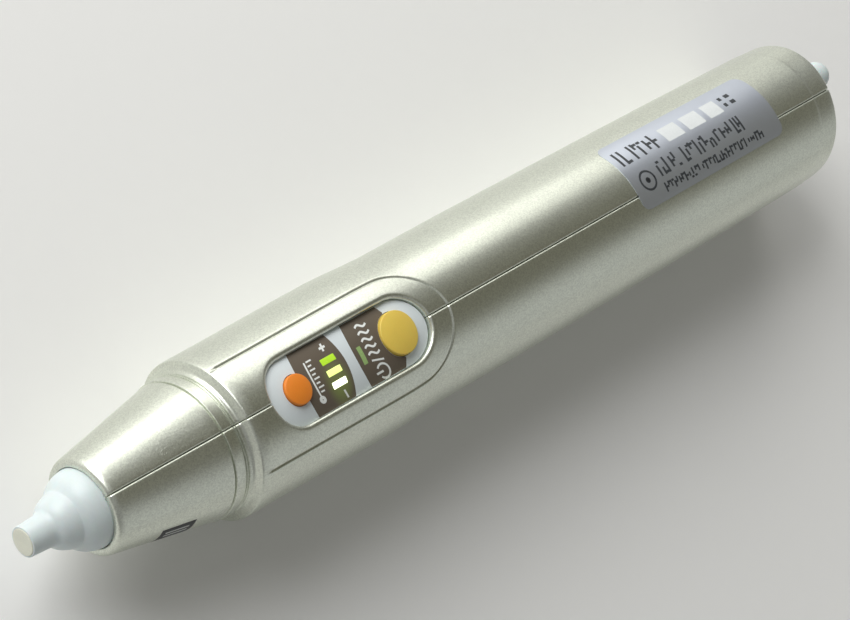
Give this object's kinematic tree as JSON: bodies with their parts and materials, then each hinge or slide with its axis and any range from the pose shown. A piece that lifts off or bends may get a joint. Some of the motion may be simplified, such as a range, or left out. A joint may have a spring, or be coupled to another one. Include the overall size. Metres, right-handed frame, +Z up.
{
  "type": "pen-type electric heat therapy wand",
  "caption": "Pen-shaped battery heat therapy wand with a heated ceramic tip, a two-button panel with level lamps, a two-shell barrel and a twist-lock tail cap.",
  "frame": {"origin": "centre of the heated tip's flat face", "axes": "+X along the pen from the tip to the tail, +Z up out of the control panel, +Y across; the shells part on Y = 0"},
  "size_m": [0.2143, 0.0306, 0.0306],
  "materials": {
    "champagne_paint": "metallic champagne-silver lacquer on moulded ABS, fine flake",
    "white_plastic": "moulded cool-white plastic, satin",
    "ceramic_face": "fired ivory ceramic, ground face",
    "white_ceramic": "plain white ceramic",
    "panel_print": "printed polyester sheet, white with brown fields",
    "orange_rubber": "satin moulded orange button",
    "yellow_rubber": "satin moulded yellow button",
    "clear_guide": "clear acrylic light guide over a green lamp",
    "led_resin": "lamp package, clear resin",
    "board_green": "green solder mask on glass-epoxy board",
    "black_plastic": "moulded black plastic",
    "steel": "zinc-plated steel",
    "spring_steel": "nickel-plated spring steel",
    "ferrite": "ferrite drum core",
    "cell_sleeve": null,
    "lead_sheath": "soft insulated lead",
    "seal_rubber": "nitrile rubber",
    "sticker_film": "silvery blue-grey printed film",
    "insulation": "heat-insulating phenolic plug"
  },
  "bodies": {
    "housing": {"left_shell": "champagne_paint", "right_shell": "champagne_paint", "shell_screws": "steel", "tip_plate": "ceramic_face", "tip_cone": "white_plastic", "heater_rod": "white_ceramic", "heat_sensor": "black_plastic", "tip_insulator": "insulation", "heater_lead_left": "lead_sheath", "heater_lead_right": "lead_sheath", "panel_bed": "white_plastic", "panel_label": "panel_print", "temp_switch": "black_plastic", "heat_switch": "black_plastic", "level_bar_low": "clear_guide", "level_bar_middle": "clear_guide", "level_bar_high": "clear_guide", "heat_lamp_guide": "clear_guide", "level_leds": "led_resin", "heat_led": "led_resin", "circuit_board": "board_green", "board_screws": "steel", "controller_chip": "black_plastic", "boost_coil": "ferrite", "supply_capacitor": "cell_sleeve", "front_contact": "spring_steel", "battery_lead": "lead_sheath", "return_strip": "spring_steel", "front_cell": "cell_sleeve", "rear_cell": "cell_sleeve", "rating_sticker": "sticker_film"},
    "temp_button": {"temp_button": "orange_rubber", "temp_switch_plunger": "black_plastic"},
    "heat_button": {"heat_button": "yellow_rubber", "heat_switch_plunger": "black_plastic"},
    "tail_cap": {"battery_cap": "white_plastic", "cap_contact": "spring_steel", "cap_spring": "spring_steel", "cap_seal": "seal_rubber"}
  },
  "joints": [
    {"name": "temp_press", "type": "slide", "parent": "housing", "child": "temp_button", "axis": [0, 0, -1], "range_m": [0, 0.0006], "stiffness_N_per_m": 1500},
    {"name": "heat_press", "type": "slide", "parent": "housing", "child": "heat_button", "axis": [0, 0, -1], "range_m": [0, 0.0006], "stiffness_N_per_m": 1500},
    {"name": "cap_turn", "type": "hinge", "parent": "housing", "child": "tail_cap", "pos_m": [0.2, 0, 0], "axis": [1, 0, 0], "range_deg": [0, 45]}
  ]
}
